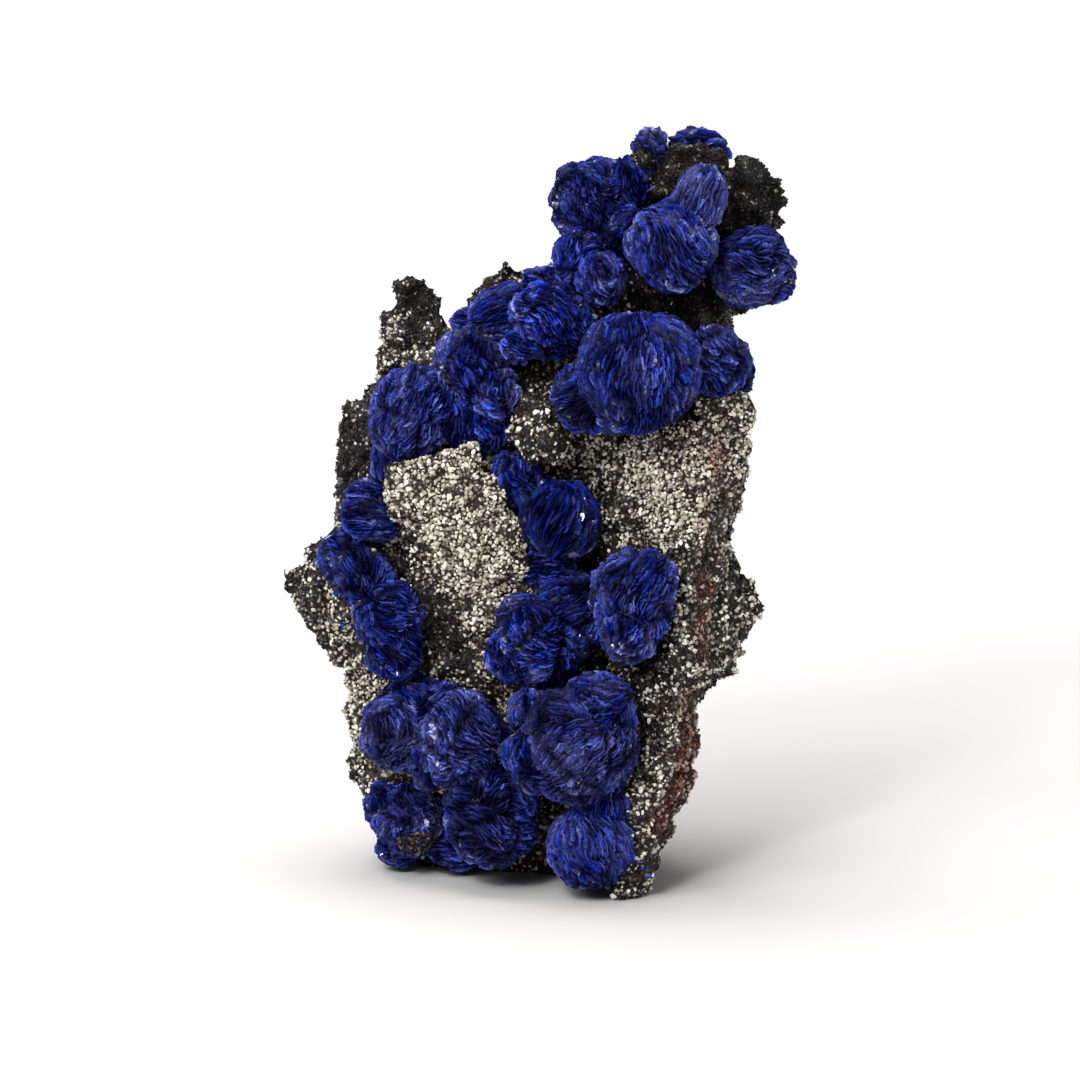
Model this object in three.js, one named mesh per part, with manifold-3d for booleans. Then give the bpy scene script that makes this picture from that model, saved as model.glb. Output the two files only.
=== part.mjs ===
// Azurite specimen: blue rosettes of bladed crystals on a dark, white-crusted lump of matrix rock.
// Millimetres, +Z up. The origin is on the flat break under the rock that the specimen stands on.
// -Y is the front, where most of the rosettes are, and +X is to the right as seen from there.
import * as THREE from "three";
import { ConvexGeometry } from "three/addons/geometries/ConvexGeometry.js";
import { ImprovedNoise } from "three/addons/math/ImprovedNoise.js";
import { mergeVertices } from "three/addons/utils/BufferGeometryUtils.js";
import Module from "manifold-3d";

// Driving dimensions.
const VIEW_DOWN_DEG = 12; // places on the front are read looking down by this angle
const VIEW_DISTANCE = 600; // and from this far in front of the middle
const ROCK_FACET = 7; // longest edge of a facet of broken rock
const ROCK_ROUGH = 0.45; // how far the rock's surface wanders in and out
const ROCK_GRAIN = 4.5; // width of one swell of that surface
const SEAT_GAP = 0.45; // clearance between a rosette's seat and the rock
const PLEAT = 0.055; // height of a blade's edge, as a share of its rosette's radius
const BLADE_PITCH = 3; // distance between two modelled blade edges round a rosette
const RING_PITCH = 2.6; // distance between two steps along a blade

const wasm = await Module();
wasm.setup();
const noise = new ImprovedNoise();
const DEG = Math.PI / 180;
const viewSin = Math.sin(VIEW_DOWN_DEG * DEG);
const viewCos = Math.cos(VIEW_DOWN_DEG * DEG);

// A place on the front, by how far across and up it is seen, and how far back it lies.
// A place nearer than the middle is seen bigger, so the second and third pass draw it in.
function seen(across, up, back) {
  const middle = { across: 0.84, up: 28.56 };
  const place = new THREE.Vector3(across, back, (up - back * viewSin) / viewCos);
  for (let pass = 0; pass < 2; pass++) {
    const beyond = back * viewCos - (place.z - middle.up / viewCos) * viewSin;
    const scale = 1 + beyond / VIEW_DISTANCE;
    const rise = middle.up + (up - middle.up) * scale;
    place.x = middle.across + (across - middle.across) * scale;
    place.z = (rise - back * viewSin) / viewCos;
  }
  return place;
}

// A place that the front view doesn't show, by its own coordinates.
function at(x, y, z) {
  return new THREE.Vector3(x, y, z);
}

// A closed mesh as a solid that can be joined and cut.
function solidOf(geometry) {
  const bare = new THREE.BufferGeometry().setAttribute("position", geometry.getAttribute("position"));
  if (geometry.index) bare.setIndex(geometry.index);
  const merged = mergeVertices(bare, 1e-4);
  return new wasm.Manifold(
    new wasm.Mesh({
      numProp: 3,
      vertProperties: merged.attributes.position.array,
      triVerts: new Uint32Array(merged.index.array),
    }),
  );
}

// The solid back as a mesh geometry with flat faces.
function geometryOf(solid) {
  const mesh = solid.getMesh();
  const indexed = new THREE.BufferGeometry()
    .setAttribute("position", new THREE.BufferAttribute(mesh.vertProperties, mesh.numProp))
    .setIndex(new THREE.BufferAttribute(mesh.triVerts, 1));
  const flat = indexed.toNonIndexed();
  flat.computeVertexNormals();
  return flat;
}

function joined(solids) {
  return solids.reduce((sum, next) => sum.add(next));
}

// Halves every edge longer than `longest`, in passes, so that a big face becomes many facets.
// Two faces that share an edge halve it alike, so the mesh stays closed.
function refine(geometry, longest) {
  let { points, faces } = indexedFaces(geometry);
  for (let again = true; again; ) {
    const middles = new Map();
    const middle = (a, b) => {
      if (points[a].distanceTo(points[b]) <= longest) return -1;
      const key = Math.min(a, b) + "_" + Math.max(a, b);
      if (!middles.has(key)) {
        middles.set(key, points.length);
        points.push(points[a].clone().lerp(points[b], 0.5));
      }
      return middles.get(key);
    };
    faces = faces.flatMap((face) => splitFace(face, middle));
    again = middles.size > 0;
  }
  return { points, faces };
}

function indexedFaces(geometry) {
  const bare = new THREE.BufferGeometry().setAttribute("position", geometry.getAttribute("position"));
  const merged = mergeVertices(bare, 1e-4);
  const place = merged.attributes.position;
  const points = Array.from({ length: place.count }, (_, i) => new THREE.Vector3().fromBufferAttribute(place, i));
  const faces = [];
  for (let i = 0; i < merged.index.count; i += 3) faces.push([...merged.index.array.slice(i, i + 3)]);
  return { points, faces };
}

// One face as one to four smaller ones, by which of its edges have a middle.
function splitFace([a, b, c], middle) {
  const [ab, bc, ca] = [middle(a, b), middle(b, c), middle(c, a)];
  const count = (ab >= 0) + (bc >= 0) + (ca >= 0);
  if (count === 0) return [[a, b, c]];
  if (count === 3) return [[a, ab, ca], [ab, b, bc], [ca, bc, c], [ab, bc, ca]];
  if (count === 1) {
    if (ab >= 0) return [[a, ab, c], [ab, b, c]];
    if (bc >= 0) return [[a, b, bc], [a, bc, c]];
    return [[a, b, ca], [ca, b, c]];
  }
  if (ab < 0) return [[c, ca, bc], [ca, a, bc], [a, b, bc]];
  if (bc < 0) return [[a, ab, ca], [ab, b, ca], [b, c, ca]];
  return [[b, bc, ab], [bc, c, ab], [c, a, ab]];
}

// Outward direction of every point, as the mean of the faces round it.
function outward(points, faces) {
  const out = points.map(() => new THREE.Vector3());
  for (const [a, b, c] of faces) {
    const side = points[b].clone().sub(points[a]);
    const normal = side.cross(points[c].clone().sub(points[a]));
    for (const i of [a, b, c]) out[i].add(normal);
  }
  return out.map((v) => v.normalize());
}

// Two octaves of swell, from about -1 to 1.
function swell(point, width) {
  const [x, y, z] = [point.x / width, point.y / width, point.z / width];
  return noise.noise(x, y, z) + 0.5 * noise.noise(2 * x + 7, 2 * y + 3, 2 * z + 5);
}

// One chunk of rock: the convex hull of its corners, broken into facets, roughened, and grown if asked.
function chunk(corners, grow) {
  const { points, faces } = refine(new ConvexGeometry(corners), ROCK_FACET);
  const out = outward(points, faces);
  points.forEach((point, i) => {
    const lift = ROCK_ROUGH * swell(point, ROCK_GRAIN) + grow;
    point.addScaledVector(out[i], lift);
  });
  const geometry = new THREE.BufferGeometry()
    .setFromPoints(points)
    .setIndex(faces.flat());
  return solidOf(geometry);
}

// The rock's chunks, each by the corners of its hull.
const rockChunks = {
  upperBody: [
    seen(-13, 42, 5), seen(-16, 36, 6), seen(-16.3, 29, 6), seen(-15, 25, 4),
    seen(-8, 45.5, 5), seen(-3, 48, 5), seen(4, 48.5, 5), seen(10, 46.5, 5), seen(15.5, 43, 5),
    seen(16.8, 36, 4), seen(15.5, 26, 3),
    seen(-11, 40, 2), seen(-12, 28, 2), seen(0, 44, 1.5), seen(8, 43, 0), seen(12, 41, -1),
    seen(12, 28, -1), seen(0, 26, 0.5),
    at(-11, 11, 38), at(-12, 12, 25), at(-4, 12, 44), at(6, 12, 45), at(13, 11, 40), at(13, 10, 25),
    at(0, 15, 34), at(2, 15.5, 25), at(8, 14.5, 36),
  ],
  lowerBody: [
    seen(-15, 28, 5), seen(-15, 16, 5), seen(-15.2, 9, 5), seen(-12.8, 3.8, 5),
    seen(-11, 27, 1.5), seen(-11, 8, 1.5), seen(-9, 1.6, 3), seen(1, 2.4, 0.5), seen(3, 12, -2.5),
    seen(4, 28, 0), seen(11, 28, 0),
    at(-10, 4.5, -1), at(2, 7, -1), at(8, -1, -1), at(8, 7, -1), at(4, 12, -1), at(-7, 12, -1),
    at(-13, 10, 8), at(-13, 11, 26), at(9, 10, 8), at(12, 10, 26), at(0, 14.5, 10), at(1, 16, 24),
  ],
  panelTop: [
    seen(13.4, 38.5, -4), seen(13.7, 28, -6.3), seen(11.5, 22, -6), seen(6, 36.5, -1.5), seen(6, 24, -1.5),
    seen(17.9, 37, 0), seen(17.8, 31.5, 0.5), seen(16.8, 30, 1), seen(16, 23, 1), at(14, 6, 35), at(13.5, 7, 22),
  ],
  panelMiddle: [
    seen(13.7, 29.5, -6.3), seen(12.8, 17, -7.4), seen(9.5, 14, -5), seen(7, 28, -1.5), seen(7, 14, -3.5),
    seen(17.3, 28.4, 0.5), seen(17.8, 24.6, 1), seen(18, 19, 1.5), seen(15, 15.2, 0.5), seen(13, 14, -2),
    at(14, 7, 27), at(13.5, 7, 16), at(10, 6, 12),
  ],
  panelFoot: [
    seen(12.6, 18.5, -7.3), seen(11.2, 10, -7.9), seen(9.4, 1.4, -8.2), seen(7, 18, -3.5), seen(7, 3, -6),
    seen(7, -2.2, -8), seen(14.6, 15.6, -1), seen(14, 11.2, -1.5), seen(12.8, 9.2, -3), seen(11.6, 4.5, -4.5),
    seen(11, 1.4, -5.5), at(9.6, -6.5, -1), at(7, -8.3, -1), at(6, -1, -1), at(9, 2, -1), at(10.5, 5.5, 8),
    at(11, 6, 15),
  ],
  panelTooth: [
    seen(14.4, 12.6, -2), seen(14, 11.2, -2.5), seen(12, 10, -5), seen(12, 14, -5), at(11, 2, 12), at(11, 3, 8),
  ],
  whiteLedge: [
    seen(-12.4, 34.4, -2), seen(-10.5, 35.2, -3), seen(-5, 36.7, -4.2), seen(-4, 34.8, -4.2),
    seen(0, 27, -2.8), seen(-2.5, 20, -1.8), seen(-1, 15, -0.8), seen(-8.2, 18, 0),
    seen(-8.8, 23.5, -0.5), seen(-11, 29, -0.5),
    seen(-11, 33, 3), seen(-3, 34.5, 2), seen(-1, 18, 3), seen(-8, 19, 3),
  ],
  leftSpike: [
    seen(-20.9, 24.4, 4), seen(-20.4, 22.8, 4), seen(-18.9, 27.4, 5), seen(-16.8, 30, 4), seen(-13.5, 31, 3.5),
    seen(-17.4, 20, 4), seen(-15.8, 18, 4), seen(-13, 17, 3), seen(-14.5, 24, 0.5), seen(-13, 28, 1),
    at(-13, 9, 27), at(-13, 9, 16), at(-17.5, 8, 22.5),
  ],
  leftEdge: [
    seen(-15.2, 40, 5), seen(-13.2, 42, 5), seen(-12.3, 39, 3), seen(-12.6, 33, 2.5),
    seen(-16, 34, 4.5), seen(-16.5, 30, 5), seen(-14.5, 29, 3), at(-13, 9, 37), at(-14, 9, 28),
  ],
  upperLeftKnob: [
    seen(-12.6, 47.2, 5), seen(-11.6, 48.4, 5.5), seen(-8, 48.8, 5), seen(-6.6, 46.8, 4.5),
    seen(-6, 43, 3), seen(-12.6, 42, 4), seen(-12.8, 44, 4.5),
    at(-12, 9, 43), at(-7, 9.5, 45), at(-6, 9.5, 40), at(-12, 9, 38),
  ],
  upperLeftTip: [
    seen(-11, 49.6, 6), seen(-10, 50.3, 6), seen(-8, 49.9, 6), seen(-7.4, 48, 5), seen(-11.4, 48, 5),
    at(-11, 9, 46), at(-8, 9, 46.5), at(-9.5, 8.5, 48.5),
  ],
  topKnob: [
    seen(-4.8, 48.6, 5), seen(-4.2, 50.2, 6), seen(-1.8, 51.9, 6.5), seen(1.2, 51.4, 6.5), seen(1.8, 49.5, 5),
    seen(-1, 47, 4), seen(-6.4, 46.5, 5),
    at(-4, 10, 44), at(1.5, 10.5, 45), at(-1, 10.5, 48.5),
  ],
  centreLump: [
    seen(-2.4, 37, -3.5), seen(-2, 39, -3.5), seen(0, 40.8, -3), seen(2.2, 41.2, -2.5), seen(3.4, 39.4, -3.5),
    seen(3.6, 36.4, -4), seen(1.8, 34.8, -4.5), seen(-0.6, 35, -4.5), seen(-0.4, 38.2, -6), seen(1.8, 36.8, -6.2),
    seen(-1.5, 38, 1), seen(3, 38, 1),
  ],
  crownRidge: [
    seen(8.8, 59.2, 3.5), seen(9.4, 61, 4), seen(12, 61.9, 4.5), seen(16, 61, 4.5), seen(17.4, 59.6, 4),
    seen(17, 57.5, 3), seen(9.6, 57.6, 3),
    at(9.5, 8.5, 56.5), at(13, 9, 59), at(16.5, 8.5, 56.5), at(8.5, 10.5, 51), at(12.5, 11.2, 53), at(15.5, 11, 49),
  ],
  crownRight: [
    seen(17, 59, 2.5), seen(19, 60, 3), seen(21.2, 58.8, 3.5), seen(21.5, 56, 4), seen(21.2, 54, 4),
    seen(16.6, 54.6, 3), seen(16.2, 57, 2.5), at(16, 8.5, 56), at(20, 8, 55.5), at(20, 8, 52), at(16, 9, 51),
  ],
  crownStem: [
    seen(6.5, 57.5, 4.5), seen(16.4, 57.5, 4), seen(17, 50.4, 4), seen(14.9, 46.6, 3.5), seen(12, 43, 3),
    seen(3, 44, 4), seen(4.5, 50, 4.5),
    at(6, 9, 50), at(8, 8.5, 53), at(14, 9, 53.5), at(16, 9, 46), at(13, 11, 41), at(3, 11.5, 41), at(9, 12.6, 44),
  ],
  crownUnder: [
    seen(13.5, 52, 2.5), seen(18.2, 48.6, 3.5), seen(15.4, 47.4, 3), seen(13, 46.4, 2.5), seen(18.4, 50.4, 4.5),
    at(17.5, 8, 47), at(13, 8, 46), at(15, 7, 44),
  ],
  rightSpike: [
    seen(19.9, 22.9, 2), seen(19.4, 21.6, 2), seen(18.6, 24.8, 2), seen(16.8, 26.6, 1), seen(17, 20.2, 1),
    seen(16, 23.6, -2.5), at(15.5, 6, 25), at(15.5, 6, 18),
  ],
  rightKnob: [
    seen(14, 39.6, -3.5), seen(15.4, 41.1, -3), seen(18.3, 41.2, -1), seen(18.6, 39.2, -1), seen(18, 35.5, -0.5),
    seen(14.4, 36, -4), at(17, 5, 38), at(17, 5, 33), at(13, 4, 35),
  ],
  backRib: [
    at(-9, 11, 41), at(-2, 12, 44), at(4, 12, 40), at(-10, 12, 33), at(-6, 16.3, 37.5), at(-1, 17.5, 34),
    at(4, 17.4, 27), at(9, 14, 24), at(7, 13, 33), at(-3, 14, 26), at(6, 15.5, 21),
  ],
  backShoulder: [
    at(-12, 9, 21), at(-11, 12, 15), at(-7, 14.8, 18), at(-2, 16.4, 10), at(-8, 12, 4), at(3, 14.5, 5),
    at(-4, 14, 20), at(3, 14, 14), at(-11, 9, 8),
  ],
  backKnob: [
    at(6, 12, 41), at(12, 9.5, 42), at(13.5, 11, 36), at(7, 15, 37.5), at(10.5, 14.8, 33), at(5, 14, 32), at(12, 10, 30),
  ],
  backStep: [
    at(12.5, 8, 21), at(9, 12.8, 22), at(5, 14.8, 16), at(10, 11, 9), at(7, 10.5, 3), at(4, 14, 8), at(12, 7.5, 13),
  ],
};

// The whole rock, cut off flat at the level that it stands on. `grow` swells it for the rosettes' seats.
function rock(grow) {
  const whole = joined(Object.values(rockChunks).map((corners) => chunk(corners, grow)));
  const floorCut = new THREE.BoxGeometry(120, 120, 20).translate(0, 0, -10);
  return whole.subtract(solidOf(floorCut));
}

// One ball of blades. `run` is the way its blades run in the front view, in degrees clockwise from up.
// `nod` leans that way towards the front, and `long` stretches the ball along it.
function lobe(across, up, back, radius, run = 0, { nod = 0, long = 1 } = {}) {
  return { centre: seen(across, up, back), radius, run, nod, long };
}

// The direction that a lobe's blades run along, from pole to pole of the ball.
function poleOf({ run, nod }) {
  const level = Math.cos(nod * DEG);
  return new THREE.Vector3(Math.sin(run * DEG) * level, -Math.sin(nod * DEG), Math.cos(run * DEG) * level);
}

// A lobe's ball. Blade edges stand out as pleats that run from pole to pole, with uneven steps.
function lobeSolid(shape) {
  const { centre, radius, long } = shape;
  const pole = poleOf(shape);
  const side = new THREE.Vector3(0, 1, 0).cross(pole).normalize();
  const front = pole.clone().cross(side);
  const blades = Math.max(4, Math.round((2 * Math.PI * radius) / BLADE_PITCH));
  const rings = Math.max(4, Math.round((Math.PI * radius * long) / RING_PITCH));
  const columns = 2 * blades;
  const point = (ring, column) => {
    const down = (Math.PI * ring) / rings;
    const unevenness = 0.3 * noise.noise(column * 0.9 + centre.x, ring * 0.8 + centre.y, centre.z);
    const round = (Math.PI * (column + unevenness)) / blades;
    const crest = column % 2 ? -1 : 1;
    const step = noise.noise(column * 0.7 + centre.z, ring * 1.3 + centre.x, centre.y);
    const reach = radius * (1 + PLEAT * (crest + 1.2 * step) * Math.sin(down));
    return centre
      .clone()
      .addScaledVector(pole, Math.cos(down) * reach * long)
      .addScaledVector(side, Math.sin(down) * Math.cos(round) * reach)
      .addScaledVector(front, Math.sin(down) * Math.sin(round) * reach);
  };
  const points = [point(0, 0)];
  for (let ring = 1; ring < rings; ring++) {
    for (let column = 0; column < columns; column++) points.push(point(ring, column));
  }
  points.push(point(rings, 0));
  const last = points.length - 1;
  const index = (ring, column) => 1 + (ring - 1) * columns + (column % columns);
  const faces = [];
  for (let column = 0; column < columns; column++) {
    faces.push(0, index(1, column), index(1, column + 1));
    faces.push(last, index(rings - 1, column + 1), index(rings - 1, column));
    for (let ring = 1; ring < rings - 1; ring++) {
      faces.push(index(ring, column), index(ring + 1, column), index(ring + 1, column + 1));
      faces.push(index(ring, column), index(ring + 1, column + 1), index(ring, column + 1));
    }
  }
  return solidOf(new THREE.BufferGeometry().setFromPoints(points).setIndex(faces));
}

// The clusters of rosettes, each grown together into one piece.
const clusters = {
  crown_rosettes: [
    lobe(5.2, 57.1, 4.6, 3.45, 115), lobe(8.4, 58.6, 4.8, 2.2, 150), lobe(11.9, 53.3, -0.4, 3.65, 147),
    lobe(14.1, 57, 0, 2.05, 20, { long: 1.45 }), lobe(6.1, 50.5, -0.8, 2.1, 150), lobe(4.3, 52.8, 1.6, 1.9, 60),
    lobe(8.2, 54.4, 2.2, 2, 20),
  ],
  fan_rosette: [lobe(18.6, 51.6, 2.6, 3.3, 96), lobe(20, 50.6, 3.2, 2.2, 120)],
  cap_crystal_left: [lobe(10.2, 61.9, 4.7, 1.2, 105, { long: 1.15 })],
  cap_crystal_right: [lobe(14.2, 61.6, 6.2, 1.4, 100, { long: 1.65 })],
  shoulder_rosettes: [
    lobe(1.7, 47, 0.2, 3.35, 135), lobe(1, 49.2, 2.4, 2.1, 95), lobe(-2.2, 48, 2.2, 1.75, 70, { long: 1.6 }),
    lobe(-4.6, 46.9, 3, 1.15, 95, { long: 1.7 }), lobe(-0.9, 44.9, -1, 1.45, 120), lobe(-4.5, 43, 0.4, 3.5, 175),
    lobe(-2.8, 40.8, -2, 1.95, 155), lobe(-10.2, 39.2, 0.4, 3.3, 8, { long: 1.15 }), lobe(-8, 40.4, 0.2, 2.6, 60),
    lobe(-12, 35.6, 1.5, 1.3, 12, { long: 1.5 }), lobe(-5.6, 38.6, 0.2, 2.3, 150), lobe(-3.5, 38.2, -0.6, 1.9, 170),
  ],
  great_rosette: [
    lobe(9.1, 42.7, -5.4, 4.95, 4), lobe(4.9, 40.4, -4.2, 2.9, 92), lobe(7.8, 39.3, -5.2, 3, 70),
    lobe(15.4, 43.6, -2, 2.9, 150), lobe(17.2, 42.3, -0.8, 1.6, 120),
  ],
  column_rosettes: [
    lobe(-1, 33.6, -2.1, 1.8, 150, { long: 1.4 }), lobe(2.6, 30.4, -3, 3.2, 12), lobe(1.6, 26.6, -1.4, 2.5, 60),
    lobe(0.8, 20.4, -3.2, 3.9, 125), lobe(3.6, 22.8, -3.1, 3.1, 40), lobe(-1.2, 18.9, -4, 2.4, 112),
    lobe(1.1, 17.2, -2.8, 1.7, 5),
  ],
  side_rosette: [
    lobe(8.7, 23.6, -6.7, 3.35, 175, { long: 1.2 }), lobe(10.2, 25.3, -8.1, 2.2, 30), lobe(8.4, 20.9, -7.7, 2.5, 160),
  ],
  foot_rosettes: [
    lobe(4, 11.5, -7, 4.85, 68), lobe(1.1, 10.6, -7.2, 3.2, 150), lobe(5.8, 14.4, -7.6, 3, 66),
    lobe(-0.4, 14.1, -6.6, 1.4, 10, { long: 1.3 }), lobe(5.1, 2.8, -6.8, 3.55, 160), lobe(6.2, 5.8, -6.2, 2.6, 175),
  ],
  edge_cone: [
    lobe(-13.2, 30.4, 0.4, 1.8, 95, { long: 1.4 }), lobe(-13.8, 32.4, 1.3, 1.2, 95, { long: 1.2 }),
  ],
  edge_rosettes: [
    lobe(-15.6, 27.2, 1.8, 2.2, 130), lobe(-14, 25.4, 0.6, 2.5, 150), lobe(-12, 22.4, -0.2, 3, 160),
    lobe(-11.3, 19.4, -0.1, 2.3, 150),
  ],
  base_rosettes: [
    lobe(-9.6, 15.4, 1, 2, 100, { long: 1.3 }), lobe(-10.9, 12.3, -0.4, 3.2, 15), lobe(-12.2, 14, 1.2, 1.5, 60),
    lobe(-5.6, 11.6, -2.8, 3.9, 130), lobe(-7.6, 14.4, -1, 2.2, 60), lobe(-8.5, 9.7, -3.2, 1.6, 170, { long: 1.3 }),
    lobe(-3.2, 5.5, -3.6, 4.2, 100),
  ],
  corner_rosettes: [
    lobe(-10, 5, 0.8, 3, 172), lobe(-11.9, 6.4, 1.8, 2, 150), lobe(-6.2, 2.4, 0.2, 1.5, 90, { long: 1.5 }),
    lobe(-11.1, 2.8, 2, 1.7, 110),
  ],
};

const rockStone = new THREE.MeshStandardMaterial({ color: 0x6f6a64, roughness: 0.9, metalness: 0 });
const azurite = new THREE.MeshStandardMaterial({ color: 0x1f2a7c, roughness: 0.42, metalness: 0 });

function named(name, solid, material) {
  const mesh = new THREE.Mesh(geometryOf(solid), material);
  mesh.name = name;
  return mesh;
}

const specimen = new THREE.Group();
specimen.add(named("matrix_rock", rock(0), rockStone));
const seat = rock(SEAT_GAP);
for (const [name, lobes] of Object.entries(clusters)) {
  const grown = joined(lobes.map(lobeSolid));
  specimen.add(named(name, grown.subtract(seat), azurite));
}

export default specimen;
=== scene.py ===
# %% [markdown]
# # Azurite on crusted rock
# The specimen is a broken lump of dark rock with balls of blue azurite grown over its front. Each
# ball is a rosette: hundreds of thin curved crystal blades side by side, so that only their edges
# show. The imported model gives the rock's and the balls' sizes and places. This file gives them their
# surfaces.

import math
from functools import partial

import bmesh
import bpy
import numpy as np
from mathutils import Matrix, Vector
from mathutils.bvhtree import BVHTree


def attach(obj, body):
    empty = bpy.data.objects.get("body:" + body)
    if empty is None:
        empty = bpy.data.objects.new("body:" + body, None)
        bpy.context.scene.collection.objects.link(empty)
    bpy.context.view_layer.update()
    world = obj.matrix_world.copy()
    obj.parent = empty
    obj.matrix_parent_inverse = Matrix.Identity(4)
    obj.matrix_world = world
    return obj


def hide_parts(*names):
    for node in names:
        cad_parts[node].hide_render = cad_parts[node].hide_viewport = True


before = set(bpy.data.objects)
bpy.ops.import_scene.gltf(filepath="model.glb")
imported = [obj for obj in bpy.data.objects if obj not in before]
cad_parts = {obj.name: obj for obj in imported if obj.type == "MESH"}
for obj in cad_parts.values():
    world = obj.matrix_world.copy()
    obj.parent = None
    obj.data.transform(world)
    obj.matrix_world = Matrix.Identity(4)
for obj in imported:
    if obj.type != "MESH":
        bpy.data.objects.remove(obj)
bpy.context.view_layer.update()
MM = 0.001

# %% [markdown]
# ## Small helpers
# Blender works in metres and in linear colour. A mineral's sizes are easier to read in millimetres,
# and its colours as the hex values that a colour picker shows, so one function converts each.


# %% Colour and mesh helpers
def linear(hex_colour):
    """Hex sRGB to linear: each channel over 255, then the sRGB curve undone."""
    channels = [int(hex_colour[i : i + 2], 16) / 255 for i in (1, 3, 5)]
    return [c / 12.92 if c <= 0.04045 else ((c + 0.055) / 1.055) ** 2.4 for c in channels] + [1.0]


def unit(vectors):
    """Each vector over its own length."""
    return vectors / np.maximum(np.linalg.norm(vectors, axis=-1, keepdims=True), 1e-12)


def new_piece(name, points, faces, material, smooth=False, **values):
    """A mesh object from points in mm and triangles, with one number per point for each named value."""
    mesh = bpy.data.meshes.new(name)
    mesh.vertices.add(len(points))
    mesh.vertices.foreach_set("co", (points * MM).astype(np.float32).ravel())
    mesh.loops.add(faces.size)
    mesh.loops.foreach_set("vertex_index", faces.astype(np.int32).ravel())
    mesh.polygons.add(len(faces))
    mesh.polygons.foreach_set("loop_start", np.arange(0, faces.size, 3, dtype=np.int32))
    mesh.polygons.foreach_set("use_smooth", np.full(len(faces), smooth))
    mesh.update(calc_edges=True)
    for key, numbers in values.items():
        mesh.attributes.new(key, "FLOAT", "POINT").data.foreach_set("value", numbers.astype(np.float32))
    mesh.materials.append(material)
    piece = bpy.data.objects.new(name, mesh)
    bpy.context.scene.collection.objects.link(piece)
    print(f"{name}: {len(faces)} triangles")
    return piece


def stacked(parts):
    """Several (points, faces, values) put one after another, with the faces' numbers moved on."""
    starts = np.cumsum([0] + [len(points) for points, _, _ in parts[:-1]])
    points = np.concatenate([p for p, _, _ in parts])
    faces = np.concatenate([f + start for (_, f, _), start in zip(parts, starts)])
    values = {key: np.concatenate([v[key] for _, _, v in parts]) for key in parts[0][2]}
    return points, faces, values


# %% [markdown]
# ## Noise as whole arrays
# Natural surfaces need numbers that wander smoothly. Each corner of a grid of cells gets a random
# number worked out from its own place, and a point blends the eight corners round it. It gives the
# same result on each run, and takes a million points at a time.


# %% Noise
def corner_number(cells, salt):
    """A repeatable number from 0 to 1 for each cell: its place times large primes, the bits stirred."""
    x, y, z = (cells[..., k].astype(np.int64) for k in range(3))
    stirred = (x * 73856093) ^ (y * 19349663) ^ (z * 83492791) ^ (salt * 2654435761)
    for shift in (13, 15, 16):
        stirred = ((stirred ^ (stirred >> shift)) * 1274126177) & 0xFFFFFFFF
    return stirred / 0xFFFFFFFF


def swell(points, size, octaves=1, salt=0):
    """Smooth noise from -1 to 1: corner numbers blended by 6t^5 - 15t^4 + 10t^3, octaves halving.

    The size is the first octave's cell, and each salt gives a pattern of its own.
    """
    total, weight, reach = 0.0, 1.0, 0.0
    for octave in range(octaves):
        place = points * (2**octave / size) + 31.7 * octave
        low = np.floor(place)
        t = place - low
        t = t**3 * (t * (t * 6 - 15) + 10)
        level = 0.0
        for corner in np.ndindex(2, 2, 2):
            share = np.prod(np.where(np.array(corner) == 1, t, 1 - t), axis=-1)
            level = level + share * corner_number(low + corner, salt + octave)
        total = total + weight * (2 * level - 1)
        reach += weight
        weight /= 2
    return total / reach


# %% [markdown]
# ## Places as the front shows them
# The rosettes' places were read from the front, looking down a little. A place is given by how far
# across and up it is seen and how far back it lies, in millimetres. Its height follows from the view.
# Things nearer than the middle are seen bigger, so two more passes draw them in.

# %% View and places
VIEW_DOWN = math.radians(12)
VIEW_DISTANCE = 600.0
VIEW_MIDDLE = (0.84, 28.56)
VIEW_TARGET = np.array([VIEW_MIDDLE[0], 0.0, VIEW_MIDDLE[1] / math.cos(VIEW_DOWN)])


def seen(across, up, back):
    """The point whose view coordinates are across and up and whose depth is back."""
    place = np.array([across, back, (up - back * math.sin(VIEW_DOWN)) / math.cos(VIEW_DOWN)])
    for _ in range(2):
        beyond = back * math.cos(VIEW_DOWN) - (place[2] - VIEW_TARGET[2]) * math.sin(VIEW_DOWN)
        scale = 1 + beyond / VIEW_DISTANCE
        rise = VIEW_MIDDLE[1] + (up - VIEW_MIDDLE[1]) * scale
        place[0] = VIEW_MIDDLE[0] + (across - VIEW_MIDDLE[0]) * scale
        place[2] = (rise - back * math.sin(VIEW_DOWN)) / math.cos(VIEW_DOWN)
    return place


# %% [markdown]
# ## The balls
# One ball is a place, a radius, and the way its blades run in the front view, in degrees clockwise
# from up. `long` stretches it along that way. `fine` makes its blades wider or narrower than usual,
# and `curl` is how far the blades swing from their main way, in degrees. `haze` makes them greyer and
# more violet, and on a few balls it also paints a pale sheen, as a painted highlight. A painted-light
# number below 1 makes their edges darker: painted shade for a ball that gets less light. The balls of
# one cluster have grown together.

# %% Ball table
USUAL_CURL = 50


def ball(across, up, back, radius, run=0, long=1.0, fine=1.0, curl=USUAL_CURL, haze=0.0, painted_light=1.0):
    """One rosette's ball, in millimetres and radians, with its pole as a unit vector.

    A ball with less than the usual curl is less wild: its small fans and its folds are weaker too.
    """
    pole = np.array([math.sin(math.radians(run)), 0.0, math.cos(math.radians(run))])
    return dict(
        centre=seen(across, up, back), radius=radius, pole=pole, long=long, fine=fine,
        curl=math.radians(curl), wild=min(1.0, curl / USUAL_CURL), haze=haze, painted_light=painted_light,
    )


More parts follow.
